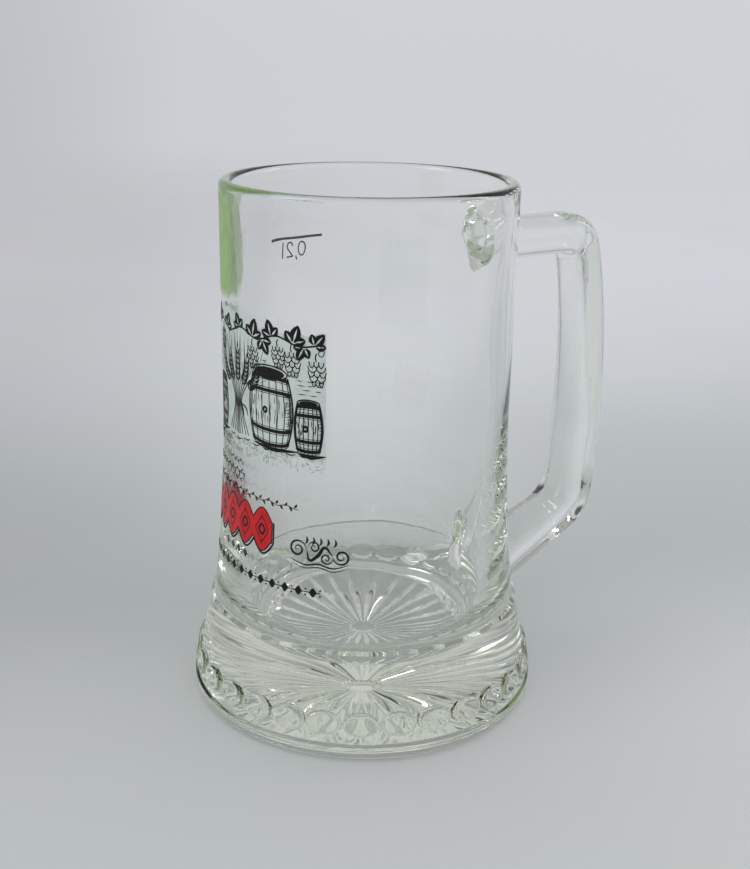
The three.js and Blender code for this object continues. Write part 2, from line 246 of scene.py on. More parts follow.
def vessel_rings():
    """Rings (radius, height) of the whole vessel from the middle of the star to the well floor."""
    turn = np.arange(COLUMNS) * 2 * math.pi / COLUMNS
    rings = []

    def add(radius, height):
        rings.append((np.broadcast_to(radius, turn.shape), np.broadcast_to(height, turn.shape)))

    # Button and star
    button_z = STAR_RECESS - BUTTON_DROP
    for radius in (0.7, 1.3, BUTTON_RADIUS - 0.1):
        add(radius, button_z)
    add(BUTTON_RADIUS, button_z + 0.08)
    add(BUTTON_FOOT_RADIUS, STAR_RECESS - 0.05)
    for share in (*np.linspace(0.09, 0.85, 19), 0.89, 0.92, 0.945, 0.965, 0.98, 0.99, 0.997):
        add(share * STAR_RADIUS, star_z(share * STAR_RADIUS, turn))
    add(STAR_RADIUS, STAR_RECESS - 0.1)
    add(STAR_RADIUS + 0.05, 0.3)
    add(STAR_RADIUS + 0.15, 0.1)

    # Outside and rim
    for radius, height in OUTER:
        add(radius, height)
    half = RIM_THICKNESS / 2
    for angle in np.linspace(0, math.pi, 17)[1:]:
        add(RIM_RADIUS - half + half * math.cos(angle), MUG_HEIGHT - half + half * math.sin(angle))

    # Well
    inner_top = np.array((RIM_RADIUS - RIM_THICKNESS, MUG_HEIGHT - half))
    corner = (WELL_RADIUS - FLOOR_DISC_RADIUS) / (1 - math.sin(WELL_CORNER_SLOPE))
    corner_top = np.array((WELL_RADIUS, FLOOR_Z + corner * math.cos(WELL_CORNER_SLOPE)))
    for radius, height in with_steps([inner_top, corner_top], ROW_STEP)[1:]:
        wave = sum(depth * np.sin(count * turn + height * lean) for depth, count, lean in WELL_WAVES)
        ease = min(1, (inner_top[1] - height) / WAVE_EASE, (height - corner_top[1]) / WAVE_EASE)
        add(radius + wave * ease, height)
    for slope in np.linspace(math.pi / 2, WELL_CORNER_SLOPE, 21)[1:]:
        add(WELL_RADIUS - corner * (1 - math.sin(slope)), corner_top[1] - corner * math.cos(slope))
    for share in (0.992, 0.93, 0.8, 0.6, 0.4, 0.15):
        add(share * FLOOR_DISC_RADIUS, FLOOR_Z)
    return turn, rings


def vessel():
    """The mug without its pearls and its handle, turned round its axis as one closed surface."""
    turn, rings = vessel_rings()
    points = [(AXIS_X, 0, STAR_RECESS - BUTTON_DROP)]
    for radius, height in rings:
        points.extend(zip(AXIS_X + radius * np.cos(turn), radius * np.sin(turn), height))
    last = len(points)
    points.append((AXIS_X, 0, FLOOR_Z))
    faces = [
        *fan_faces(0, 1, COLUMNS, flip=True),
        *ring_faces(len(rings), COLUMNS, 1),
        *fan_faces(last, last - COLUMNS, COLUMNS)]
    return mesh_piece("mug_glass", points, faces)


def pearl_ring():
    """Pearls in a row round the cone of the foot: low oval buttons with full, rounded edges."""
    around, rows, sunk = 32, 11, 1.2
    radius = float(wall_radius(PEARL_Z))
    lean = math.atan2(float(wall_radius(PEARL_Z - 2) - wall_radius(PEARL_Z + 2)), 4)
    points, faces = [], []
    for k in range(PEARLS):
        turn = 2 * math.pi * (k + 0.5) / PEARLS + PATTERN_TURN
        out = np.array((math.cos(lean) * math.cos(turn), math.cos(lean) * math.sin(turn),
                        math.sin(lean)))
        side = np.array((-math.sin(turn), math.cos(turn), 0))
        up = np.cross(out, side)
        middle = np.array((AXIS_X + radius * math.cos(turn), radius * math.sin(turn), PEARL_Z))
        base = len(points)
        points.append(middle + out * PEARL_OUT)
        for face, depth in ((1, PEARL_OUT), (-1, sunk)):
            for row in range(1, rows):
                tilt = math.pi / 2 * row / rows
                share = math.sin(tilt) if face > 0 else math.cos(tilt)
                rise = face * depth * math.sqrt(1 - share ** PEARL_FLATNESS)
                for j in range(around):
                    spin = 2 * math.pi * j / around
                    points.append(
                        middle + out * rise + side * (PEARL_WIDTH / 2) * share * math.cos(spin)
                        + up * (PEARL_TALL / 2) * share * math.sin(spin))
        last = len(points)
        points.append(middle - out * sunk)
        faces += fan_faces(base, base + 1, around)
        faces += ring_faces(2 * rows - 2, around, base + 1, flip=True)
        faces += fan_faces(last, last - around, around, flip=True)
    return mesh_piece("pearls", points, faces)


def round_corner(line, corner, after, distance, steps=12):
    """Adds a straight stretch and a rounded corner to a line of points."""
    previous = line[-1]
    corner, after = np.asarray(corner, float), np.asarray(after, float)
    back = previous - corner
    start = corner + back * distance / np.linalg.norm(back)
    end = corner + (after - corner) * distance / np.linalg.norm(after - corner)
    line.extend(previous + (start - previous) * i / 6 for i in range(1, 7))
    line.extend(bezier([start, corner, end], steps))


def swing(line, end, start_slope=0.0, steps=18):
    """Adds a soft double bend that starts at a slope and ends level."""
    start = line[-1]
    half = (end[0] - start[0]) / 2
    line.extend(bezier(
        [start, (start[0] + half, start[1] + start_slope * half), (end[0] - half, end[1]), end],
        steps))


def rail(*, top_land, top_arm, top_corner, top_radius, bow, wide, low_corner, low_radius, low_arm,
         low_land, low_slope):
    """The outer or inner side of the handle, from the upper land round to the lower one."""
    line = [np.asarray(top_land, float)]
    swing(line, top_arm)
    round_corner(line, top_corner, bow, top_radius)
    line.extend(bezier([line[-1], bow, wide], 60))
    round_corner(line, low_corner, low_arm, low_radius)
    previous, arm = line[-1], np.asarray(low_arm, float)
    line.extend(previous + (arm - previous) * i / 10 for i in range(1, 11))
    swing(line, low_land, low_slope)
    return np.array(line)


def handle_rails():
    """The outer and the inner side of the handle, each as points (distance from the axis, height)."""
    in_wall = WALL_RADIUS - ARM_EMBED
    land_end = WALL_RADIUS + LAND_REACH
    low_land_end = SHOULDER_RADIUS + LAND_REACH
    arm_bottom = HANDLE_TOP - ARM_THICKNESS
    low_slope, low_top_slope = 0.51, 0.33

    outer_top = np.array((HANDLE_REACH - 7, HANDLE_TOP))
    outer_wide = np.array((HANDLE_REACH, GRIP_WIDEST_Z))
    outer_low = np.array((HANDLE_REACH - 2.1, 28))
    inner_top = np.array((outer_top[0] - 4.7, arm_bottom))
    inner_wide = outer_wide - (GRIP_THICKNESS, 0)
    inner_low = np.array((outer_low[0] - 9.1, 34.2))
    # The control point that takes the middle of the inner bow to its place
    inner_bow = np.array((
        2 * (HANDLE_REACH - INNER_BOW_INSET) - (inner_top[0] + inner_wide[0]) / 2,
        (inner_top[1] + inner_wide[1]) / 2))

    def under_arm(x):
        return outer_low[1] - low_slope * (outer_low[0] - x)

    def over_arm(x):
        return inner_low[1] - low_top_slope * (inner_low[0] - x)

    outer = rail(
        top_land=(in_wall, HANDLE_TOP + 0.6), top_arm=(land_end, HANDLE_TOP),
        top_corner=outer_top, top_radius=7, bow=(HANDLE_REACH, GRIP_BOW_Z), wide=outer_wide,
        low_corner=outer_low, low_radius=7, low_arm=(low_land_end, under_arm(low_land_end)),
        low_land=(in_wall, under_arm(in_wall)), low_slope=low_slope)
    inner = rail(
        top_land=(in_wall, arm_bottom - 2), top_arm=(land_end, arm_bottom),
        top_corner=inner_top, top_radius=2.6, bow=inner_bow, wide=inner_wide,
        low_corner=inner_low, low_radius=6.5, low_arm=(low_land_end, over_arm(low_land_end)),
        low_land=(in_wall, over_arm(low_land_end) + 5), low_slope=low_top_slope)
    return outer, inner


def handle():
    """The handle: a rounded square section between its two sides, melted at the wall."""
    outer, inner = handle_rails()
    around = 72
    turns = np.arange(around) * 2 * math.pi / around
    power = 2 / HANDLE_SQUARENESS
    across_share = np.sign(np.cos(turns)) * np.abs(np.cos(turns)) ** power
    side_share = np.sign(np.sin(turns)) * np.abs(np.sin(turns)) ** power
    points = []
    for a, b in zip(outer, inner):
        thickness = np.linalg.norm(a - b)
        middle = (a + b) / 2
        across = (a - b) / thickness
        near = min(1, max(0, 1 - (middle[0] - SHOULDER_RADIUS) / LAND_REACH))
        upper = middle[1] > GRIP_WIDEST_Z
        spread = UPPER_LAND_SPREAD if upper else LOWER_LAND_SPREAD
        width = HANDLE_WIDTH + spread * near ** 2
        wall = float(wall_radius(middle[1]))
        melt = min(1, max(0, 1 - (middle[0] - wall) / MELT_REACH)) ** 1.5
        out = thickness / 2 * across_share
        left = width / 2 * side_share
        left += np.sign(left) * SEAM_HEIGHT * np.exp(-(out / SEAM_WIDTH) ** 2) * (1 - melt)
        # The melted glass narrows to a drop at the upper land, to an oval at the lower one, and
        # it has run in small waves.
        rise = 0.5 + out / thickness
        low = 1 - rise if upper else rise
        left *= 1 - melt * (0.12 + 0.72 * low ** 1.3 if upper else 0.5 - 0.2 * rise)
        left += melt * (0.5 * np.sin(9 * rise + 2.4 * side_share) + 0.3 * np.sin(23 * rise))
        out = out + melt * (0.35 * np.sin(1.3 * left + 2.2 * across_share) - (0.6 if upper else 0))
        for spot, sideways in zip(middle + across * out[:, None], left):
            points.append((AXIS_X + spot[0], sideways, spot[1]))
    return mesh_piece("handle_glass", points, tube_faces(len(outer), around, flip=True))


def join(target, piece):
    """Joins a piece to the target and uses it up."""
    modifier = target.modifiers.new("join", "BOOLEAN")
    modifier.operation = "UNION"
    modifier.solver = "MANIFOLD"
    modifier.object = piece
    graph = bpy.context.evaluated_depsgraph_get()
    mesh = bpy.data.meshes.new_from_object(target.evaluated_get(graph))
    target.modifiers.clear()
    target.data = mesh
    bpy.data.objects.remove(piece)


mug = vessel()
join(mug, pearl_ring())
join(mug, handle())
mug.data.shade_smooth()
mug.data.set_sharp_from_angle(angle=math.radians(30))
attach(mug, "root")
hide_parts("glass_body", "handle")


class Nodes:
    """The node tree of a material or of the world."""

    def __init__(self, owner):
        owner.use_nodes = True
        self.tree = owner.node_tree
        self.tree.nodes.clear()

    def add(self, kind, inputs=None, **settings):
        """Adds a node and returns its outputs. An input is a plain value or another node's output."""
        node = self.tree.nodes.new("ShaderNode" + kind)
        for name, value in settings.items():
            setattr(node, name, value)
        for socket, value in (inputs or {}).items():
            if isinstance(value, bpy.types.NodeSocket):
                self.tree.links.new(value, node.inputs[socket])
            else:
                node.inputs[socket].default_value = value
        return node.outputs

    def math(self, operation, *values):
        return self.add("Math", dict(enumerate(values)), operation=operation)["Value"]

    def dot(self, place, direction):
        return self.add("VectorMath", {0: place, 1: direction}, operation="DOT_PRODUCT")["Value"]

    def remap(self, value, low, high, least=0.0, most=1.0, curve="LINEAR"):
        """Goes from least to most while the value goes from low to high."""
        return self.add("MapRange", {
            "Value": value, "From Min": low, "From Max": high, "To Min": least, "To Max": most,
        }, interpolation_type=curve)["Result"]

    def multiply(self, colour, factor, share=1.0):
        return self.add("Mix", {"Factor": share, "A": colour, "B": factor},
                        data_type="RGBA", blend_type="MULTIPLY")["Result"]

    def ramp(self, value, stops, curve="LINEAR"):
        """A colour for each value, between stops of a position and a colour."""
        colour = self.add("ValToRGB", {"Fac": value})["Color"]
        ramp = colour.node.color_ramp
        ramp.interpolation = curve
        first, last = ramp.elements
        first.position, first.color = stops[0][0], (*stops[0][1], 1)
        last.position, last.color = stops[-1][0], (*stops[-1][1], 1)
        for position, tone in stops[1:-1]:
            ramp.elements.new(position).color = (*tone, 1)
        return colour

    def mixed(self, share, first, second):
        return self.add("MixShader", {"Fac": share, 1: first, 2: second})["Shader"]


def glass_material():
    """Clear glass with faint waves and a slight green tint, whose shadows stay light."""
    material = bpy.data.materials.new("clear_glass")
    nodes = Nodes(material)
    place = nodes.add("TexCoord")["Object"]
    wave = nodes.add("TexNoise", {"Vector": place, "Scale": 60, "Detail": 2})["Fac"]
    glass = nodes.add("BsdfPrincipled", {
        "Base Color": (1, 1, 1, 1), "Transmission Weight": 1, "IOR": 1.52,
        "Roughness": nodes.remap(wave, 0, 1, 0.0, 0.03),
        "Normal": nodes.add("Bump", {"Height": wave, "Strength": 0.25, "Distance": 0.0004})["Normal"],
    })["BSDF"]
    clear = nodes.add("BsdfTransparent", {"Color": (0.93, 0.95, 0.94, 1)})["BSDF"]
    tint = nodes.add("VolumeAbsorption", {"Color": (0.91, 0.985, 0.78, 1), "Density": 8})["Volume"]
    in_shadow = nodes.add("LightPath")["Is Shadow Ray"]
    nodes.add("OutputMaterial", {"Surface": nodes.mixed(in_shadow, glass, clear), "Volume": tint})
    return material


mug.data.materials.clear()
mug.data.materials.append(glass_material())


# Enamel. Lengths along the wall count in millimetres from the middle of the print, to the right as
# seen from outside.
PRINT_MIDDLE = math.pi
FILL_MIDDLE = math.pi / 2
ENAMEL_SUNK = 0.012


def along(degrees):
    """Length along the wall from the middle of the print to an azimuth."""
    return (math.radians(degrees) - PRINT_MIDDLE) * WALL_RADIUS


PICTURE_LEFT, PICTURE_RIGHT = along(154), along(222)


def bend(points, steps=6):
    """A smooth line through points."""
    points = [np.asarray(p, float) for p in points]
    padded = [2 * points[0] - points[1], *points, 2 * points[-1] - points[-2]]
    line = [points[0]]
    for a, b, c, d in zip(padded, padded[1:], padded[2:], padded[3:]):
        for i in range(1, steps + 1):
            t = i / steps
            line.append(0.5 * (2 * b + (c - a) * t + (2 * a - 5 * b + 4 * c - d) * t ** 2
                               + (3 * b - a - 3 * c + d) * t ** 3))
    return np.array(line)


def oval(middle, across, tall, start=0.0, end=360.0, steps=24):
    """Points of an ellipse or of a part of it, from one angle to another."""
    turn = np.radians(np.linspace(start, end, steps + 1))
    return np.stack([middle[0] + across * np.cos(turn), middle[1] + tall * np.sin(turn)], 1)


class Enamel:
    """Thin closed shapes on the wall of the mug, joined to one piece."""

    def __init__(self, name, thickness, middle=PRINT_MIDDLE):
        self.name, self.thickness, self.middle = name, thickness, middle
        self.points, self.faces = [], []

    def on_wall(self, flat, lift):
        """Points of the print, laid round the wall at a lift off it."""
        turn = self.middle + flat[:, 0] / WALL_RADIUS
        radius = wall_radius(flat[:, 1]) + lift
        return np.stack([AXIS_X + radius * np.cos(turn), radius * np.sin(turn), flat[:, 1]], 1)

    def add(self, rings):
        """Joins rows of points, each as (low, low, high, high), to a closed solid."""
        base = len(self.points)
        for ring in rings:
            self.points.extend(ring)
        self.faces += tube_faces(len(rings), len(rings[0]), base)

    def stroke(self, line, width, point=0.0):
        """A pen stroke along a line. The ends thin out over the given share of its length."""
        line = np.asarray(line, float)
        steps = np.hypot(*np.diff(line, axis=0).T)
        run = np.concatenate([[0], np.cumsum(steps)])
        if run[-1] < 1e-6:
            return
        count = max(len(line), math.ceil(run[-1] / 1.2) + 1)
        at = np.linspace(0, run[-1], count)
        line = np.stack([np.interp(at, run, line[:, 0]), np.interp(at, run, line[:, 1])], 1)
        ahead = np.gradient(line, axis=0)
        ahead /= np.hypot(*ahead.T)[:, None] + 1e-12
        side = np.stack([-ahead[:, 1], ahead[:, 0]], 1)
        widths = np.full(count, width / 2)
        if point:
            share = at / run[-1]
            ends = np.minimum(share, 1 - share) / point
            widths = widths * np.clip(np.sqrt(np.clip(ends, 0, 1)), 0.12, 1)
        left, right = line + side * widths[:, None], line - side * widths[:, None]
        low, high = -ENAMEL_SUNK, self.thickness
        rows = [self.on_wall(part, lift) for part, lift in (
            (left, low), (right, low), (right, high), (left, high))]
        self.add([[row[i] for row in rows] for i in range(count)])

    def blade(self, line, width):
        """A filled leaf: a stroke that swells in its middle."""
        self.stroke(line, width, point=0.5)

    def fill(self, start, end, bottom_at, top_at, rows=3, longest=1.0):
        """A filled area between two edges, each a function of the share of the way along."""
        columns = max(2, math.ceil((end - start) / longest))
        rings = []
        for i in range(columns + 1):
            share = i / columns
            across = start + (end - start) * share
            heights = np.linspace(bottom_at(share), top_at(share), rows + 1)
            flat = np.stack([np.full(rows + 1, across), heights], 1)
            low = self.on_wall(flat, -ENAMEL_SUNK)
            high = self.on_wall(flat, self.thickness)
            rings.append([*low, *high[::-1]])
        self.add(rings)

    def piece(self, material, slot, *nodes):
        """Makes the shapes one piece of the scene, in the place of CAD nodes."""
        piece = mesh_piece(self.name, self.points, self.faces, crease=50)
        piece.data.materials.append(material)
        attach(piece, "root")
        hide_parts(*nodes)
        return piece


def enamel_material(name, colour, dark, roughness, least_alpha=1.0, fade=0.0):
    """Fired enamel: satin, with slightly uneven colour, small pits and, if thin, uneven cover. The
    cover can fade out over a share of its height from below."""
    material = bpy.data.materials.new(name)
    nodes = Nodes(material)
    place = nodes.add("TexCoord")
    cloud = nodes.add("TexNoise", {"Vector": place["Object"], "Scale": 220, "Detail": 4})["Fac"]
    pits = nodes.add("TexNoise", {"Vector": place["Object"], "Scale": 2600})["Fac"]
    looks = {
        "Base Color": nodes.ramp(cloud, ((0.35, dark), (0.6, colour))),
        "Roughness": nodes.remap(cloud, 0, 1, roughness - 0.12, roughness + 0.12),
        "Specular IOR Level": 0.22,
        "Normal": nodes.add("Bump", {"Height": pits, "Strength": 0.35, "Distance": 3e-5})["Normal"]}
    if least_alpha < 1:
        looks["Alpha"] = nodes.remap(cloud, 0.3, 0.7, least_alpha, min(1.0, least_alpha + 0.25))
    if fade:
        height = nodes.add("SeparateXYZ", {"Vector": place["Generated"]})["Z"]
        rise = nodes.remap(height, 0, fade, curve="SMOOTHSTEP")
        looks["Alpha"] = nodes.math("MULTIPLY", looks["Alpha"], rise)
    nodes.add("OutputMaterial", {"Surface": nodes.add("BsdfPrincipled", looks)["BSDF"]})
    return material


def barrel(ink, middle, bottom, width, tall):
    """A standing barrel: staves, broad hoops, a dark open top, wood grain and a shady side."""
    bow = 0.1 * width

    def spot(share, angle, shift=0.0):
        half = width / 2 * (0.79 + 0.21 * math.sin(math.pi * share))
        return (middle + half * math.sin(angle),
                bottom + tall * share + shift - bow * math.cos(angle) * (1 - 1.5 * share))

    def stave(angle, low=0.0, high=1.0):
        return [spot(s, angle) for s in np.linspace(low, high, 12)]

    def hoop(share, shift=0.0, start=-math.pi / 2):
        return [spot(share, a, shift) for a in np.linspace(start, math.pi / 2, 17)]

    for angle in (-1.57, 1.57):
        ink.stroke(stave(angle), 0.36)
    for angle in (-1.12, -0.72, -0.36, 0.0, 0.36, 0.72, 1.12):
        ink.stroke(stave(angle), 0.2)
    for share in (0.05, 0.24, 0.76, 0.94):
        ink.stroke(hoop(share), 0.72)
        ink.stroke(hoop(share, 0.62), 0.13)
        ink.stroke(hoop(share, -0.62), 0.13)
    grain = np.random.default_rng(int(width * 10))
    for _ in range(int(5.2 * width)):
        angle = 1.45 * (1 - 2 * grain.uniform() ** 1.35)
        low = grain.uniform(0.28, 0.62)
        ink.stroke(stave(-angle, low, low + grain.uniform(0.06, 0.15)), 0.13, point=0.5)
    rows = int(1.9 * tall)
    for k in range(rows):
        share = 0.27 + 0.46 * k / (rows - 1)
        reach = 0.75 + 0.3 * ((k * 7) % 5) / 4
        ink.stroke([spot(share, a) for a in np.linspace(reach, 1.52, 6)], 0.15, point=0.3)
    top = bottom + tall + 0.5 * bow
    across = width / 2 * 0.79
    deep = 0.12 * width
    ink.stroke(oval((middle, top), across, deep), 0.3)
    ink.fill(middle - 0.84 * across, middle + 0.84 * across,
             lambda s: top - 0.1 - 0.72 * deep * math.sqrt(max(0, 1 - (2 * s - 1) ** 2)),
             lambda s: top + 0.72 * deep * math.sqrt(max(0, 1 - (2 * s - 1) ** 2)), rows=1,
             longest=0.4)
    bung = (middle - 0.1 * width, bottom + tall * 0.48)
    ink.stroke(oval(bung, 0.5, 0.55, steps=12), 0.5)
    ink.blade([(middle - 0.4 * width, bottom - 0.75), (middle + 0.1 * width, bottom - 1.25),
               (middle + 0.62 * width, bottom - 0.7)], 0.9)


def barley_ear(ink, base, tip, sag=0.0, grains=6, awn=3.4):
    """Two rows of plump grains up a curved spine, each grain with a long awn."""
    base, tip = np.asarray(base, float), np.asarray(tip, float)
    ahead = (tip - base) / np.linalg.norm(tip - base)
    spine = bend([base, (base + tip) / 2 + np.array((-ahead[1], ahead[0])) * sag, tip], 12)
    last = len(spine) - 1
    for k in range(grains):
        share = (k + 0.2) / grains
        spot, after = spine[int(share * last)], spine[min(last, int(share * last) + 1)]
        ahead = (after - spot) / (np.linalg.norm(after - spot) + 1e-9)
        side = np.array((-ahead[1], ahead[0]))
        size = 1.15 - 0.35 * share
        for hand in (-1, 1):
            end = spot + (ahead * 1.75 + side * hand * 0.85) * size
            ink.blade(bend([spot + side * hand * 0.14,
                            spot + (ahead * 0.85 + side * hand * 0.68) * size, end], 4), 0.6 * size)
            ink.stroke([end, end + ahead * awn * (0.7 + 0.3 * share) + side * hand * 0.7], 0.12,
                       point=0.6)
    ink.blade([tip, tip + ahead * 1.8], 0.55)
    ink.stroke([tip + ahead * 1.6, tip + ahead * (1.6 + awn)], 0.12, point=0.6)
    ink.stroke(spine, 0.14)


def sheaf(ink, middle, bottom, tall):
    """A sheaf of barley, tied round its waist."""
    waist = bottom + tall * 0.34
    for k in range(-4, 5):
        lean = k / 4
        foot = (middle + lean * 3.6 + 0.3 * math.sin(k * 5), bottom + 0.5 * abs(lean))
        ink.stroke(bend([foot, (middle + lean * 1.35, waist),
                         (middle + lean * 3.9, bottom + tall * 0.58)], 8), 0.24)
    for lean in (-1, -0.5, 0, 0.5, 1):
        neck = (middle + lean * 4.0, bottom + tall * (0.56 - 0.04 * abs(lean)))
        tip = (middle + lean * 7.2, bottom + tall * (0.88 - 0.15 * abs(lean)))
        barley_ear(ink, neck, tip, sag=-0.6 * lean)
    for k in range(4):
        height = waist - 0.6 + 0.42 * k
        ink.stroke(bend([(middle - 1.6, height), (middle, height - 0.35), (middle + 1.6, height)], 5),
                   0.22)
    for x, z in ((3.8, -2.3), (2.3, -3.1)):
        ink.blade(bend([(middle + 1.2, waist), (middle + 0.8 * x, waist + 0.3 * z),
                        (middle + x, waist + z)], 6), 0.45)


def hop_cone(ink, top, tall, lean=0.0):
    """A hanging hop cone: rows of overlapping scales that get smaller towards the tip."""
    rows = 5
    for row in range(rows):
        share = row / rows
        height = top[1] - tall * share
        half = 0.38 * tall * math.sin(math.pi * (0.3 + 0.6 * share))
        count = 3 if row % 2 == 0 else 2
        middle = top[0] + lean * tall * share
        for k in range(count):
            x = middle + half * (2 * (k + 0.5) / count - 1)
            across, drop = half / count * 1.1, tall / rows * 1.25
            ink.stroke(bend([(x - across, height), (x - across * 0.8, height - drop * 0.6),
                             (x, height - drop), (x + across * 0.8, height - drop * 0.6),
                             (x + across, height)], 4), 0.22)
            ink.blade([(x, height - 0.1 * drop), (x, height - drop * 0.75)], 0.26)
    ink.stroke(bend([(top[0], top[1] + tall * 0.35), (top[0] - 0.2, top[1] + tall * 0.15),
                     (top[0], top[1])], 4), 0.26)


def hop_leaf(ink, base, turn, size):
    """A dark leaf of three pointed lobes with light veins and toothed edges."""
    base = np.asarray(base, float)
    for lobe, length, width in ((0.0, 1.0, 0.27), (0.95, 0.76, 0.23), (-0.95, 0.76, 0.23)):
        ahead = np.array((math.cos(turn + lobe), math.sin(turn + lobe)))
        side = np.array((-ahead[1], ahead[0]))
        for hand in (-1, 1):
            widest = base + (ahead * 0.5 * length + side * hand * (0.05 + width / 2)) * size
            ink.blade(bend([base + (ahead * 0.1 + side * hand * 0.04) * size, widest,
                            base + (ahead * length + side * hand * 0.02) * size], 5), width * size)
            for k in range(3):
                foot = base + (ahead * (0.4 + 0.17 * k) * length
                               + side * hand * width * (0.95 - 0.2 * k)) * size
                ink.blade([foot - ahead * 0.05 * size, foot + (ahead * 0.13 + side * hand * 0.1) * size],
                          0.09 * size)


def hop_branch(ink):
    """A bine across the whole picture, with leaves over it and cones below."""
    ink.stroke(bend([(-13.6, 85.6), (-9.0, 87.4), (-4.0, 86.0), (1.2, 87.6), (6.5, 86.2),
                     (12.0, 87.7), (17.2, 86.3), (21.6, 86.9)], 8), 0.36)
    ink.stroke(bend([(21.6, 86.9), (22.6, 85.8), (22.2, 84.7), (21.4, 85.2), (21.8, 85.9)], 5), 0.18)
    for x, z, angle, size in ((-11.0, 86.8, 105, 3.6), (-5.6, 86.2, 70, 3.4), (0.4, 87.3, 110, 3.2),
                              (5.2, 86.4, 78, 3.9), (10.6, 87.3, 105, 3.5), (15.9, 86.7, 72, 3.9),
                              (20.6, 86.7, 50, 3.2), (8.2, 86.4, -62, 3.3), (18.4, 86.3, -118, 3.2)):
        hop_leaf(ink, (x, z), math.radians(angle), size)
    for x, z, tall in ((-8.4, 85.4, 4.2), (5.2, 84.4, 4.4), (12.3, 85.6, 4.2), (15.6, 84.9, 4.8),
                       (21.0, 83.6, 4.8)):
        hop_cone(ink, (x, z), tall, lean=0.08)


def meadow(ink, rng):
    """The ground under the barrels: a broken line, tufts of grass and pebbles."""
    left, right = PICTURE_LEFT + 0.5, PICTURE_RIGHT - 0.6
    for start in np.arange(left, right - 2.6, 3.1):
        height = 64.0 + 0.3 * math.sin(start * 0.7)
        ink.stroke(bend([(start, height), (start + 1.2, height - 0.25), (start + 2.4, height + 0.1)],
                        4), 0.26, point=0.3)
    for _ in range(330):
        x = rng.uniform(left, right)
        z = 63.9 - 3.2 * rng.uniform(0, 1) ** 1.25
        if rng.uniform() < 0.55:
            tall = rng.uniform(0.35, 0.9)
            ink.stroke([(x, z - tall / 2), (x + rng.uniform(-0.4, 0.4), z + tall / 2)],
                       rng.uniform(0.14, 0.28), point=0.5)
        else:
            ink.stroke([(x, z), (x + rng.uniform(0.3, 1.0), z + rng.uniform(-0.15, 0.15))], 0.24,
                       point=0.4)


def sky(ink, rng, clear_of):
    """Rows of broken pen lines behind the things, which stay clear of the given boxes."""
    for height in np.arange(65.6, 84.6, 0.92):
        x = PICTURE_LEFT + rng.uniform(0.3, 1.4)
        while x < PICTURE_RIGHT - 0.8:
            end = min(x + rng.uniform(0.7, 2.1), PICTURE_RIGHT - 0.4)
            if not any(low < end and x < high and under < height < over
                       for low, high, under, over in clear_of):
                ink.stroke([(x, height), (end, height + rng.uniform(-0.08, 0.08))], 0.2, point=0.3)
            x = end + rng.uniform(0.35, 0.8)


def vine(ink, start, end, middle, tall):
    """A thin wavy stem with a leaf at every turn."""
    xs = np.arange(start, end, 0.35)
    step = 1.35 * tall
    ink.stroke([(x, middle + 0.16 * tall * math.sin(2 * math.pi * (x - start) / (2 * step)))
                for x in xs], 0.15)
    for k, x in enumerate(np.arange(start + 0.3 * step, end - 0.3 * step, step / 2)):
        hand = 1 if k % 2 == 0 else -1
        ink.blade([(x, middle), (x + 0.3 * tall, middle + hand * 0.26 * tall),
                   (x + 0.42 * tall, middle + hand * 0.52 * tall)], 0.34 * tall)


def picture(black):
    """Barrels, a sheaf of barley and a hop bine, drawn like an old engraving."""
    ground = Enamel("picture_ground", 0.02)

    def wave(share, count):
        return 1.2 * math.sin(math.pi * share * count) + 0.3 * math.sin(math.pi * share * 17)

    ground.fill(PICTURE_LEFT, PICTURE_RIGHT, lambda s: 62.1 + wave(s, 3),
                lambda s: 89.4 + wave(s, 2), rows=12)
    ground.piece(
        enamel_material("pale_enamel", (0.74, 0.82, 0.76), (0.66, 0.75, 0.69), 0.45, 0.5),
        "pale_enamel", "enamel_picture_ground")

    ink = Enamel("picture_lines", 0.045)
    rng = np.random.default_rng(20)
    meadow(ink, rng)
    sky(ink, rng, ((3.7, 16.3, 60, 81.8), (16.0, 23.0, 60, 76.6), (-13.0, -5.7, 60, 76.6),
                   (-4.4, 4.4, 60, 76.0), (-7.6, 7.6, 75.0, 90), (11.0, 23.0, 79.5, 90)))
    barrel(ink, 10.0, 65.2, 11.8, 14.2)
    barrel(ink, 19.3, 65.0, 6.2, 9.6)
    barrel(ink, -9.4, 65.0, 6.4, 9.6)
    sheaf(ink, -0.4, 64.6, 20.5)
    hop_branch(ink)
    vine(ink, PICTURE_LEFT, along(184), 56.4, 1.5)
    vine(ink, PICTURE_LEFT, along(211.5), 52.5, 1.7)
    ink.piece(black, "black_enamel", "enamel_picture_ground")


def side_panel():
    """A light green panel with rounded corners, which thins out at its lower edge."""
    panel = Enamel("side_panel", 0.03)
    low, high = 91.4, 113.0
    middle, half = (low + high) / 2, (high - low) / 2

    def half_at(share):
        return half * (1 - 0.3 * abs(2 * share - 1) ** 8)

    panel.fill(along(138), along(175), lambda s: middle - half_at(s), lambda s: middle + half_at(s),
               rows=10, longest=0.4)
    panel.piece(
        enamel_material("green_enamel", (0.42, 0.60, 0.25), (0.37, 0.54, 0.22), 0.38, 0.48, 0.1),
        "green_enamel", "enamel_side_panel")


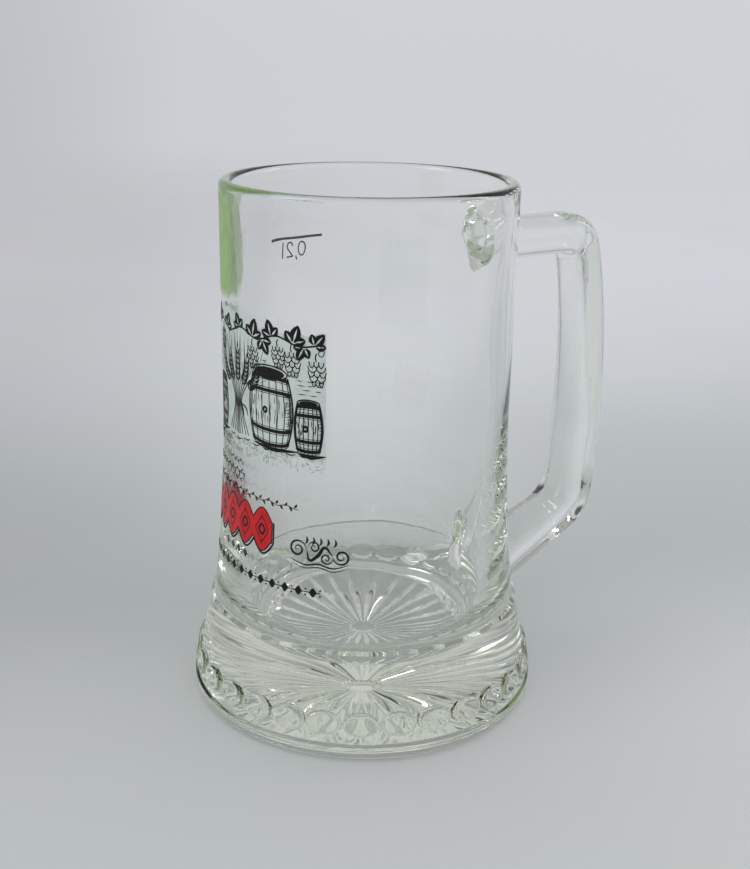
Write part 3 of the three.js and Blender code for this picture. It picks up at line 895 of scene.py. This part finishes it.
def ribbon(black):
    """A chain of red lozenges with a black outline, a drop shadow and smaller lozenges inside."""
    start, end = along(150), along(200)
    lozenges, width, neck, middle = 5, 9.5, 4.2, 46

    def half_at(share):
        return (neck + (width - neck) * abs(math.sin(math.pi * share * lozenges))) / 2

    red = Enamel("ribbon_red", 0.035)
    red.fill(start, end, lambda s: middle - half_at(s), lambda s: middle + half_at(s), rows=5,
             longest=0.4)
    red.piece(
        enamel_material("red_enamel", (0.60, 0.018, 0.022), (0.50, 0.012, 0.016), 0.36),
        "red_enamel", "enamel_ribbon")
    trim = Enamel("ribbon_lines", 0.05)
    shares = np.linspace(0, 1, 101)
    xs = start + (end - start) * shares
    for shift, thick in ((0.0, 0.26), (0.45, 0.42)):
        trim.stroke([(x + shift, middle - half_at(s) - shift) for x, s in zip(xs, shares)], thick)
    trim.stroke([(x, middle + half_at(s)) for x, s in zip(xs, shares)], 0.26)
    for shift, thick in ((0.1, 0.26), (0.5, 0.36)):
        trim.stroke([(end + shift, middle - neck / 2 - 0.4), (end + shift, middle + neck / 2)], thick)
    step = (end - start) / lozenges
    for k in range(lozenges):
        x = start + step * (k + 0.5)
        for tall, across, thick in ((3.1, 1.9, 0.2), (1.5, 0.9, 0.5)):
            trim.stroke([(x - across, middle), (x, middle + tall), (x + across, middle),
                         (x, middle - tall), (x - across, middle)], thick)
        trim.stroke([(x, middle - 3.9), (x, middle - 1.9)], 0.18, point=0.5)
        trim.stroke([(x, middle + 1.9), (x, middle + 3.9)], 0.18, point=0.5)
    trim.piece(black, "black_enamel", "enamel_ribbon")


def scroll(black):
    """A penman's flourish: leafy spirals on a double swing."""
    pen = Enamel("scroll", 0.04)
    left, right, middle = along(208), along(232), 43.6

    def spiral(x, z, size, start, turns, hand):
        share = np.linspace(0, 1, 40)
        reach, turn = size * (1 - 0.85 * share), start + hand * turns * 2 * math.pi * share
        return np.stack([x + reach * np.cos(turn), z + reach * np.sin(turn)], 1)

    for x, z, size, start, turns, hand, thick in (
            (left + 2.0, middle + 0.4, 2.0, 0, 1.7, 1, 0.42),
            (right - 1.9, middle - 0.3, 1.8, math.pi, 1.7, 1, 0.42),
            (left + 5.6, middle + 1.2, 1.3, math.pi, 1.5, -1, 0.34),
            (right - 5.0, middle - 0.9, 1.3, 0, 1.5, -1, 0.34)):
        pen.stroke(spiral(x, z, size, start, turns, hand), thick, point=0.3)
    pen.blade(bend([(left + 4.0, middle + 0.4), (left + 4.7, middle - 1.7), (left + 6.4, middle - 0.5),
                    (left + 7.8, middle + 1.5), (right - 3.7, middle - 0.3)], 8), 0.75)
    for drop, thick in ((2.3, 0.36), (3.0, 0.22)):
        pen.stroke(bend([(left + 0.6, middle - drop + 0.3), (left + 3.6, middle - drop - 0.5),
                         (left + 6.6, middle - drop), (left + 9.6, middle - drop - 0.6),
                         (right - 0.3, middle - drop + 0.5)], 8), thick, point=0.4)
    for k in range(5):
        x = left + 3.6 + 1.5 * k
        pen.blade(bend([(x, middle + 1.7), (x + 0.5, middle + 2.4), (x + 0.3, middle + 3.4)], 4), 0.5)
        pen.blade([(x + 0.3, middle - 1.4), (x + 1.0, middle - 1.9)], 0.4)
    pen.piece(black, "black_enamel", "enamel_scroll")


def border_band(black):
    """Lozenges on a thin line, with dots between them."""
    band = Enamel("border_band", 0.04)
    left, right = along(153), along(221)
    count, middle, half = 12, 35.0, 1.15
    step = (right - left) / count
    for k in range(count):
        x = left + step * (k + 0.5)
        start, end = x - 0.85, x + 0.85
        band.fill(start, end, lambda s: middle - half * (1 - abs(2 * s - 1)) - 0.04,
                  lambda s: middle + half * (1 - abs(2 * s - 1)) + 0.04, rows=2, longest=0.4)
        for side in (-1, 1):
            band.stroke([(x + step / 2, middle + 0.62 * side - 0.18),
                         (x + step / 2, middle + 0.62 * side + 0.18)], 0.36)
    band.stroke([(left, middle), (right, middle)], 0.2)
    band.piece(black, "black_enamel", "enamel_border_band")


def fill_mark(black):
    """The line of the 0.2 litre mark with its number below."""
    mark = Enamel("fill_mark", 0.04, FILL_MIDDLE)
    line_z, top, low, thick = 98.6, 97.6, 94.0, 0.36
    start, end = ((math.radians(angle) - FILL_MIDDLE) * RIM_RADIUS for angle in (78, 107))
    mark.fill(start, end, lambda s: line_z - 0.3, lambda s: line_z + 0.3, rows=1)
    mark.stroke(oval((-0.9, (top + low) / 2), 1.1, (top - low) / 2 - 0.1, 90, 450, 28), thick)
    mark.stroke(bend([(1.0, low + 0.2), (0.92, low - 0.35), (0.6, low - 0.8)], 4), thick)
    mark.stroke(bend([(2.0, top - 0.95), (2.35, top - 0.2), (3.05, top - 0.1), (3.7, top - 0.7),
                      (3.5, top - 1.6), (2.7, low + 1.0), (2.05, low + 0.15)], 6), thick)
    mark.stroke([(1.95, low + 0.1), (3.9, low + 0.1)], thick)
    mark.stroke([(5.2, top + 0.1), (5.2, low - 0.1)], thick)
    mark.piece(black, "black_enamel", "enamel_fill_line")


black_enamel = enamel_material("black_enamel", (0.010, 0.010, 0.012), (0.005, 0.005, 0.006), 0.5)
picture(black_enamel)
side_panel()
ribbon(black_enamel)
scroll(black_enamel)
border_band(black_enamel)
fill_mark(black_enamel)


def grey(*stops):
    """Stops of one tone each as stops of a colour."""
    return tuple((position, (tone, tone, tone)) for position, tone in stops)


# The wall's light from left to right behind the mug, as a factor, and its colours from level to top
WALL_SIDEWAYS = grey((0.125, 0.82), (0.24, 0.905), (0.32, 0.98), (0.5, 1.0), (0.66, 1.0), (0.9, 1.01))
WALL_TONES = (0.47, (0.62, 0.63, 0.665)), (0.56, (0.64, 0.65, 0.69)), (0.74, (0.28, 0.29, 0.30))
MATT_LIGHT, MATT_STRENGTH = (0.94, 0.97, 1.0, 1), 0.725

# The floor's colours from front to back, with the painted shade round the mug, and a painted pool of
# light behind the mug: its share from left to right and the factors of no share and of the whole
FLOOR_TONES = (
    (0.013, (0.545, 0.555, 0.565)), (0.12, (0.57, 0.585, 0.59)), (0.18, (0.567, 0.579, 0.587)),
    (0.245, (0.455, 0.477, 0.476)), (0.30, (0.45, 0.47, 0.467)), (0.413, (0.503, 0.522, 0.522)),
    (0.52, (0.585, 0.596, 0.607)), (0.68, (0.635, 0.638, 0.655)), (1.0, (0.655, 0.656, 0.677)))
POOL_SIDEWAYS = grey((0.1, 0.0), (0.24, 0.22), (0.34, 0.55), (0.44, 0.95), (0.53, 1.0), (0.62, 0.62),
                     (0.71, 0.22), (0.9, 0.1))
POOL_FACTORS = 0.93, 1.24

# Soft lamps: place and target, width and height, and power
LAMPS = {
    "overhead": ((250, 150, 1200), (0, 0, 0), 3600, 3000, 10.5),
    "left_window": ((-1000, 230, 860), (0, 0, 60), 520, 800, 3.1),
    "right_strip": ((950, -420, 620), (0, 0, 60), 100, 500, 0.8),
}


def floor_material():
    """Pale paper with painted light and shade: light in front, a broad soft painted shade beside and
    behind the mug, a painted pool of light behind the mug, light again far off, a little darker to the
    left, and darker far off to either side."""
    material = bpy.data.materials.new("floor_paper")
    nodes = Nodes(material)
    place = nodes.add("TexCoord")["Object"]
    back = Vector((math.cos(VIEW_AZIMUTH + math.pi), math.sin(VIEW_AZIMUTH + math.pi), 0))
    right = Vector((back.y, -back.x, 0))

    def distance(direction, nearest, farthest, least=0.0, most=1.0):
        return nodes.remap(nodes.dot(place, direction), nearest, farthest, least, most)

    # Places on the floor are in metres.
    # Painted shade: the tones darken in a broad band beside and behind the mug.
    tone = nodes.ramp(distance(back - 0.25 * right, -0.155, 0.595), FLOOR_TONES, "B_SPLINE")
    # Painted shade: the floor is a little darker to the left.
    tone = nodes.multiply(tone, distance(right, -0.17, 0.12, 0.87, 1.055))
    # The painted pool of light is a fan that spreads from a point under the camera.
    fan_left, fan_near = 0.012, 0.256
    fan = nodes.math("DIVIDE", distance(right, -1, 1, fan_left - 1, fan_left + 1),
                     distance(back, -1, 1, fan_near - 1, fan_near + 1))
    pool = nodes.ramp(nodes.remap(fan, -0.4, 0.4), POOL_SIDEWAYS, "B_SPLINE")
    reach = nodes.math("MULTIPLY", distance(back, 0.0, 0.1), distance(back, 0.1, 0.45, 1.0, 0.1))
    tone = nodes.multiply(tone, nodes.remap(pool, 0, 1, *POOL_FACTORS), reach)
    # Painted shade: the floor gets darker far off to either side.
    off_side = nodes.math("ABSOLUTE", distance(right, -1, 1, -1, 1))
    tone = nodes.multiply(tone, nodes.remap(off_side, 0.36, 0.75, 1.0, 0.6, "SMOOTHSTEP"))
    grain = nodes.add("TexNoise", {"Vector": place, "Scale": 9, "Detail": 5})["Color"]
    paint = nodes.add("BsdfPrincipled", {
        "Base Color": nodes.multiply(tone, grain, 0.08), "Roughness": 0.85,
        "Specular IOR Level": 0.15})["BSDF"]
    far = nodes.add("VectorMath", {0: place}, operation="LENGTH")["Value"]
    edge = nodes.remap(far, 0.5, 1.35, curve="SMOOTHSTEP")
    clear = nodes.add("BsdfTransparent")["BSDF"]
    nodes.add("OutputMaterial", {"Surface": nodes.mixed(edge, paint, clear)})
    return material


def paper_floor():
    """A round pale floor that fades into the studio, whose walls the world paints."""
    rings, columns, size, height = 24, 96, 1400, -0.1
    turn = np.arange(columns) * 2 * math.pi / columns
    points = [(0, 0, height)]
    for ring in range(1, rings + 1):
        radius = size * (ring / rings) ** 1.5
        points.extend((x, y, height) for x, y in zip(radius * np.cos(turn), radius * np.sin(turn)))
    faces = [*fan_faces(0, 1, columns), *ring_faces(rings, columns, 1, flip=True)]
    floor = mesh_piece("floor", points, faces)
    floor.data.materials.append(floor_material())


def studio_world():
    """Plain light for what is matt; walls and ceiling of a pale room for camera, gloss and glass."""
    world = bpy.data.worlds.new("studio")
    bpy.context.scene.world = world
    nodes = Nodes(world)
    place = nodes.add("TexCoord")["Generated"]
    height = nodes.add("SeparateXYZ", {"Vector": place})["Z"]
    front = nodes.dot(place, (math.cos(VIEW_AZIMUTH), math.sin(VIEW_AZIMUTH), 0.15))
    across = nodes.dot(place, (-math.sin(VIEW_AZIMUTH), math.cos(VIEW_AZIMUTH), 0))
    wings = nodes.remap(nodes.math("ABSOLUTE", across), 0.36, 0.7, 1.0, 0.18, "SMOOTHSTEP")
    dark = nodes.math("MULTIPLY", nodes.remap(front, -0.75, 0.25, 1.0, 0.12, "SMOOTHSTEP"), wings)
    ceiling = nodes.remap(height, 0.25, 0.5, 1.0, dark, "SMOOTHSTEP")
    sideways = nodes.ramp(nodes.remap(across, -0.4, 0.4), WALL_SIDEWAYS)
    seen = nodes.add("Background", {
        "Color": nodes.ramp(nodes.remap(height, -1, 1), WALL_TONES, "EASE"),
        "Strength": nodes.math("MULTIPLY", ceiling, sideways)})["Background"]
    matt = nodes.add("Background", {"Color": MATT_LIGHT, "Strength": MATT_STRENGTH})["Background"]
    path = nodes.add("LightPath")
    looked_at = nodes.math("MAXIMUM", path["Is Camera Ray"], path["Is Glossy Ray"])
    looked_at = nodes.math("MAXIMUM", looked_at, path["Is Transmission Ray"])
    nodes.add("OutputWorld", {"Surface": nodes.mixed(looked_at, matt, seen)})


def lamps():
    """Soft area lamps, each aimed at its target."""
    for name, (place, target, width, height, power) in LAMPS.items():
        data = bpy.data.lights.new(name, "AREA")
        data.shape = "RECTANGLE"
        data.size, data.size_y, data.energy = width * MM, height * MM, power
        lamp = bpy.data.objects.new(name, data)
        bpy.context.scene.collection.objects.link(lamp)
        lamp.location = Vector(place) * MM
        aim = Vector(target) - Vector(place)
        lamp.rotation_euler = aim.to_track_quat("-Z", "Y").to_euler()


def camera():
    """The photograph's view, from a pinhole fitted to the rim, the foot and the side lines."""
    distance, height = 264.1, 147.2
    pitch, yaw, roll = 0.3223, -0.001, 0.016
    data = bpy.data.cameras.new("camera")
    data.sensor_width = 36
    data.lens = 51.75
    data.shift_x = 0.012
    data.clip_start = 0.01
    lens = bpy.data.objects.new("camera", data)
    bpy.context.scene.collection.objects.link(lens)
    ahead = VIEW_AZIMUTH + math.pi - yaw
    forward = Vector((
        math.cos(ahead) * math.cos(pitch), math.sin(ahead) * math.cos(pitch), -math.sin(pitch)))
    right = forward.cross(Vector((0, 0, 1))).normalized()
    level = Matrix((right, right.cross(forward), -forward)).transposed()
    place = Vector((
        AXIS_X + distance * math.cos(VIEW_AZIMUTH), distance * math.sin(VIEW_AZIMUTH), height)) * MM
    lens.matrix_world = Matrix.Translation(place) @ (level @ Matrix.Rotation(roll, 3, "Z")).to_4x4()
    bpy.context.scene.camera = lens


paper_floor()
studio_world()
lamps()
camera()
bpy.context.scene.view_settings.view_transform = "Standard"
cycles = bpy.context.scene.cycles
cycles.max_bounces = 24
cycles.transmission_bounces = 24
cycles.glossy_bounces = 16
